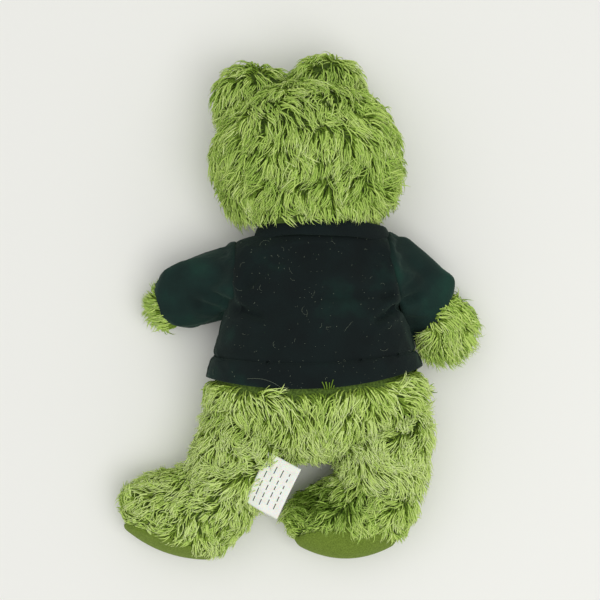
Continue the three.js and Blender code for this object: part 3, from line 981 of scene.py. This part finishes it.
def build_sleeve(side, arm):
    shoulder = JOINTS[f"shoulder_{side}"]
    outward = -1 if side == "left" else 1
    node = f"sleeve_{side}"
    points = [p for p in node_points(node) if (p.x - shoulder.x) * outward > 6 * MM]
    far = sorted(points, key=lambda p: -(p - shoulder).length)[:24]
    along = (sum(far, Vector()) / len(far) - shoulder)
    along = Vector((along.x, along.y, 0)).normalized()
    deep = sum(p.z for p in far) / len(far)
    points += [Vector((p.x, p.y, deep + (p.z - deep) * 0.8)) + along * 5 * MM for p in far]
    points += armhole_ring(side) + armhole_ring(side, outward * 5 * MM)
    edges = SLEEVES[side]["upper"] + SLEEVES[side]["cuff"]
    points += [shoulder + mm(x, y, z) for x, y in edges for z in (-14, 0.5)]
    for point in points:
        point.z = max(point.z, 2.5 * MM)
    middle, _, _, lean = ARMHOLES[side]
    armhole = (shoulder + middle - Vector((outward * 0.4 * MM, 0, 0)), Vector((-outward, -outward * lean, 0)))
    mouth = sleeve_mouth(side)
    whole = remeshed("sleeve_work", [hull_of(points)], 2.2 * MM, 4)
    whole = trimmed(whole, [armhole, mouth])

    def hold(p):
        near = abs((p - armhole[0]).dot(armhole[1].normalized()))
        return 1.0 if near < 3 * MM else max(0.02, 0.35 * (1 - near / (12 * MM)))

    whole = draped(whole, hold, arm, 0.05, 3.0 * MM)
    whole = subdivided(whole)
    under = shoulder + mm(outward * 2, -16)
    if side == "left":
        creases = [
            (under, under + mm(-15, 8), 2.2, 1.9),
            (under + mm(-6, -2), under + mm(-20, 2), 1.7, 2.0),
            (shoulder + mm(-3, 2), shoulder + mm(-14, -5), 1.3, 2.8),
        ]
    else:
        creases = [
            (under + mm(0, 2), under + mm(10, 6), 2.2, 1.9),
            (shoulder + mm(4, 8), shoulder + mm(17, -3), 1.4, 3.2),
        ]
    whole = creased(whole, creases)
    whole = seamed(whole, [(armhole[0], armhole[1], (0.2 if side == "left" else 1.3) * MM)])
    # The sleeve felt's lighter colour is painted sheen.
    piece = felt_piece(f"shirt_sleeve_{side}", whole, felt=SHEEN_SLEEVE_FELT)
    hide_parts(node)
    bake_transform(piece)
    return piece


def clear_shoulder(side, arm):
    """Draws the top of the arm in, so that little of it shows past the sleeve when the arm is lifted."""
    shoulder = np.array(JOINTS[f"shoulder_{side}"])

    def share(points):
        return np.clip(1.5 - np.linalg.norm(points - shoulder, axis=1) / (18 * MM), 0, 1)

    drawn_in(arm.data, share, 3.5 * MM)


# ---------------- lint and loose fibres
THREAD_SIDES = 4
LINT_TRIES = 1.6                   # places tried for each one wanted, since many are left out


def thread(points, path, radius, faces):
    """Adds one fine tube along a path."""
    ends = THREAD_SIDES
    start = len(points)
    for index, point in enumerate(path):
        ahead = path[min(index + 1, len(path) - 1)] - path[max(index - 1, 0)]
        first = ahead.orthogonal().normalized()
        second = ahead.cross(first).normalized()
        for corner in range(ends):
            angle = 2 * math.pi * corner / ends
            points.append(point + (first * math.cos(angle) + second * math.sin(angle)) * radius)
    for index in range(len(path) - 1):
        for corner in range(ends):
            a, b = start + index * ends + corner, start + index * ends + (corner + 1) % ends
            faces.append((a, b, b + ends, a + ends))


def build_lint(name, body, pieces, count, hairs, rng):
    """Pale specks and curled hairs that cling to the upper side of the felt."""
    points, faces = [], []
    for piece in pieces:
        tree = tree_of(piece.data)
        low, high = np.array(piece.bound_box).min(0), np.array(piece.bound_box).max(0)
        share = np.prod((high - low)[:2]) / (100 * MM * 60 * MM)
        for index in range(int(LINT_TRIES * (count + hairs) * share) + 1):
            x, y = rng.uniform(low[0], high[0]), rng.uniform(low[1], high[1])
            if noise.noise(Vector((x, y, 0)) / (16 * MM)) < rng.uniform(-0.5, 0.3):
                continue
            hair = index < LINT_TRIES * hairs * share
            steps = 9 if hair else 3
            length = rng.choice([2.0, 3.0, 4.0, 7.0]) * MM if hair else rng.uniform(0.2, 0.8) * MM
            heading, bend = rng.uniform(0, 2 * math.pi), rng.normal(0, 0.22)
            path = []
            for _ in range(steps):
                hit = tree.ray_cast(Vector((x, y, 0.2)), Vector((0, 0, -1)))
                if hit[0] is None or hit[1].z < 0.25:
                    break
                path.append(hit[0] + hit[1] * 0.12 * MM)
                x += math.cos(heading) * length / steps
                y += math.sin(heading) * length / steps
                heading += bend
            if len(path) == steps:
                thread(points, path, (0.05 if hair else rng.uniform(0.05, 0.14)) * MM, faces)
    piece = add_object(name, mesh_from(name, points, faces), [LINT])
    shade_smooth(piece.data)
    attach(piece, body)


def laid_on(piece, corners, lift):
    """A smooth path over the upper side of a piece, through corners given from above."""
    tree = tree_of(piece.data)
    path = []
    for first, second in zip(corners, corners[1:]):
        for step in range(6):
            share = step / 6
            x = first[0] + (second[0] - first[0]) * share
            y = first[1] + (second[1] - first[1]) * share
            hit = tree.ray_cast(Vector((x * MM, y * MM, 0.2)), Vector((0, 0, -1)))
            if hit[0] is not None:
                path.append(hit[0] + hit[1] * lift)
    return path


def build_strays(hem, sleeve, rng):
    """One long loose hair on the hem, a tuft of yarn that has worked out over it, and a fleck on a sleeve."""
    points, faces = [], []
    curve = [(-24 + 18 * t, -36.4 - 5 * t ** 2.2 + 0.8 * math.sin(3 * t)) for t in np.linspace(0, 1, 8)]
    thread(points, laid_on(hem, curve, 0.15 * MM), 0.07 * MM, faces)
    hair = add_object("stray_hair", mesh_from("stray_hair", points, faces), [LINT])
    points, faces = [], []
    for turn in range(7):
        root, tip = 15.2 + rng.normal(0, 0.5), 14.6 + rng.normal(0, 1.5)
        top = rng.uniform(-40.5, -36)
        curve = [(root + (tip - root) * t ** 1.5, -46 + (top + 46) * t) for t in np.linspace(0, 1, 6)]
        thread(points, laid_on(hem, curve, (0.4 + 0.12 * turn) * MM), 0.3 * MM, faces)
    tuft = add_object("stray_tuft", mesh_from("stray_tuft", points, faces), [YARN[1]])
    points, faces = [], []
    thread(points, laid_on(sleeve, [(70.8, -7.2), (71.4, -9.4)], 0.3 * MM), 0.35 * MM, faces)
    fleck = add_object("stray_fleck", mesh_from("stray_fleck", points, faces), [YARN[5]])
    strays = (hair, "trunk", "shirt_felt"), (tuft, "trunk", "fur"), (fleck, "arm_right", "fur")
    for piece, body, slot in strays:
        shade_smooth(piece.data)
        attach(piece, body)


# ---------------- label
def build_label(rng):
    """The sewn-in ribbon, curled a little, with rows of plain dashes for its print."""
    joint = next(j for j in frame["joints"] if j["name"] == "label_lift")
    root = JOINTS["label_lift"]
    hinge = Vector(joint["axis"]).normalized()
    corners = node_points("label")
    middle = sum(corners, Vector()) / len(corners)
    along = middle - root
    along = (along - hinge * along.dot(hinge)).normalized()
    up = hinge.cross(along)
    if up.z < 0:
        up.negate()
    wide = max(abs((p - middle).dot(hinge)) for p in corners) * 2
    first, last = (f((p - root).dot(along) for p in corners) for f in (min, max))

    def spot(u, v, off=0.0):
        """u runs across the ribbon and v along it, both from 0 to 1."""
        x = (u - 0.5) * wide
        y = first + (last - first) * v
        curl = 1.1 * MM * math.sin(math.pi * v) + 1.3 * MM * max(0, v - 0.7) * (1 - 2 * u)
        curl += 0.5 * MM * math.cos(math.pi * 2 * (u - 0.5)) * v
        return root + (middle - root).dot(hinge) * hinge + hinge * x + along * y + up * (curl + off)

    nu, nv = 22, 34
    points = [spot(i / nu, j / nv) for j in range(nv + 1) for i in range(nu + 1)]
    row = nu + 1
    faces = [(j * row + i, j * row + i + 1, (j + 1) * row + i + 1, (j + 1) * row + i)
             for j in range(nv) for i in range(nu)]
    sheet = add_object("label_ribbon", mesh_from("label_ribbon", points, faces))
    mesh = settled(sheet, ("SOLIDIFY", {"thickness": 0.35 * MM, "offset": 0.0}))
    shade_smooth(mesh)
    piece = add_object("label_ribbon", mesh, [RIBBON])
    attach(piece, "label_flap")
    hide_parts("label")
    points, faces = [], []
    for line in range(4):
        v = 0.16
        while v < 0.86:
            size = rng.uniform(0.05, 0.14)
            u = 0.2 + 0.2 * line
            start = len(points)
            for step in range(4):
                along_v = v + size * step / 3
                for offset in (0.012, -0.012):
                    points.append(spot(u + offset, along_v, 0.24 * MM))
            faces += [(k, k + 1, k + 3, k + 2) for k in range(start, start + 6, 2)]
            v += size + rng.uniform(0.035, 0.07)
    marks = add_object("label_dashes", mesh_from("label_dashes", points, faces), [PRINT])
    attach(marks, "label_flap")


# ---------------- face
def build_face():
    made_of = {f"eye_{side}": EYE_PLASTIC for side in SIDES}
    made_of.update({node: THREAD for node in ("nostril_left", "nostril_right", "mouth_stitch")})
    for node, material in made_of.items():
        data = frame["nodes"][node].data
        data.materials.clear()
        data.materials.append(material)


# ---------------- stage
def area_light(name, place, size, power):
    """A square light that faces the middle of the toy."""
    data = bpy.data.lights.new(name, "AREA")
    data.shape = "SQUARE"
    data.size = size
    data.energy = power
    lamp = add_object(name, data)
    lamp.location = place
    lamp.rotation_euler = (-lamp.location).to_track_quat("-Z", "Y").to_euler()


def build_stage():
    """A pale floor, a soft key light from beyond the right foot, a broader fill from beyond the left of the
    head, and a camera looking straight down."""
    level = min(0.0, cad_box[0][2]) - 0.02 * MM
    corners = [(x, y, level) for x, y in ((-2.5, -2.5), (2.5, -2.5), (2.5, 2.5), (-2.5, 2.5))]
    paper = new_material("floor_paper", tone(242, 242, 237), 0.9)
    floor = add_object("floor", mesh_from("floor", corners, [(0, 1, 2, 3)]), [paper])
    area_light("key", (0.45, -0.35, 1.4), 0.9, 7.7)
    area_light("fill", (-0.35, 0.25, 1.6), 1.5, 5.5)
    world = bpy.data.worlds.new("studio")
    world.use_nodes = True
    world.node_tree.nodes["Background"].inputs["Color"].default_value = (1, 1, 1, 1)
    world.node_tree.nodes["Background"].inputs["Strength"].default_value = 0.54
    bpy.context.scene.world = world
    bpy.context.scene.view_settings.view_transform = "Standard"
    data = bpy.data.cameras.new("camera")
    view_width, height = 300 * MM, 900 * MM
    data.sensor_width = 36
    data.lens = data.sensor_width * (height - 35 * MM) / view_width
    camera = add_object("camera", data)
    camera.location = (1.75 * MM, 2 * MM, height)
    bpy.context.scene.camera = camera


# The backing's colour is its own green darkened with painted shade.
BACKING_AND_SHADE = backing_material()
YARN = yarn_materials()
FELT = felt_material("felt", [(0.3, tone(8, 16, 17)), (0.55, tone(12, 24, 24)), (0.75, tone(16, 42, 36))])
# The sleeves take the same felt made lighter and greener: painted sheen where the curved sleeves catch the
# light.
SHEEN_SLEEVE_FELT = felt_material("sleeve_felt_painted_sheen", [
    (0.3, tone(13, 28, 26)), (0.5, tone(18, 40, 36)), (0.7, tone(22, 56, 46)),
])
VELOUR = velour_material()
RIBBON = ribbon_material()
LINT = new_material("lint", tone(118, 128, 110), 0.8, sheen=0.1)
PRINT = new_material("label_print", tone(70, 70, 66), 0.8)
EYE_PLASTIC = new_material("eye_plastic", tone(14, 14, 15), 0.12, coat=0.6)
THREAD = new_material("face_thread", tone(28, 31, 22), 0.6, sheen=0.3)

build_stage()
yarn_rng = np.random.default_rng(SEED)
build_head(yarn_rng)
build_face()
trunk_skin = build_trunk(yarn_rng)
trunk_tree = tree_of(trunk_skin.data)
shirt = build_shirt_body(trunk_skin)
collar = build_neckband()
build_lint("lint_trunk", "trunk", [shirt[0], shirt[2], collar], 190, 30, yarn_rng)
for side_name in SIDES:
    leg_skin = build_leg(side_name, trunk_tree, yarn_rng)
    build_foot(side_name, tree_of(leg_skin.data), yarn_rng)
    arm_skin = build_arm(side_name, yarn_rng)
    sleeve = build_sleeve(side_name, arm_skin)
    clear_shoulder(side_name, arm_skin)
build_strays(shirt[2], sleeve, yarn_rng)
build_label(yarn_rng)
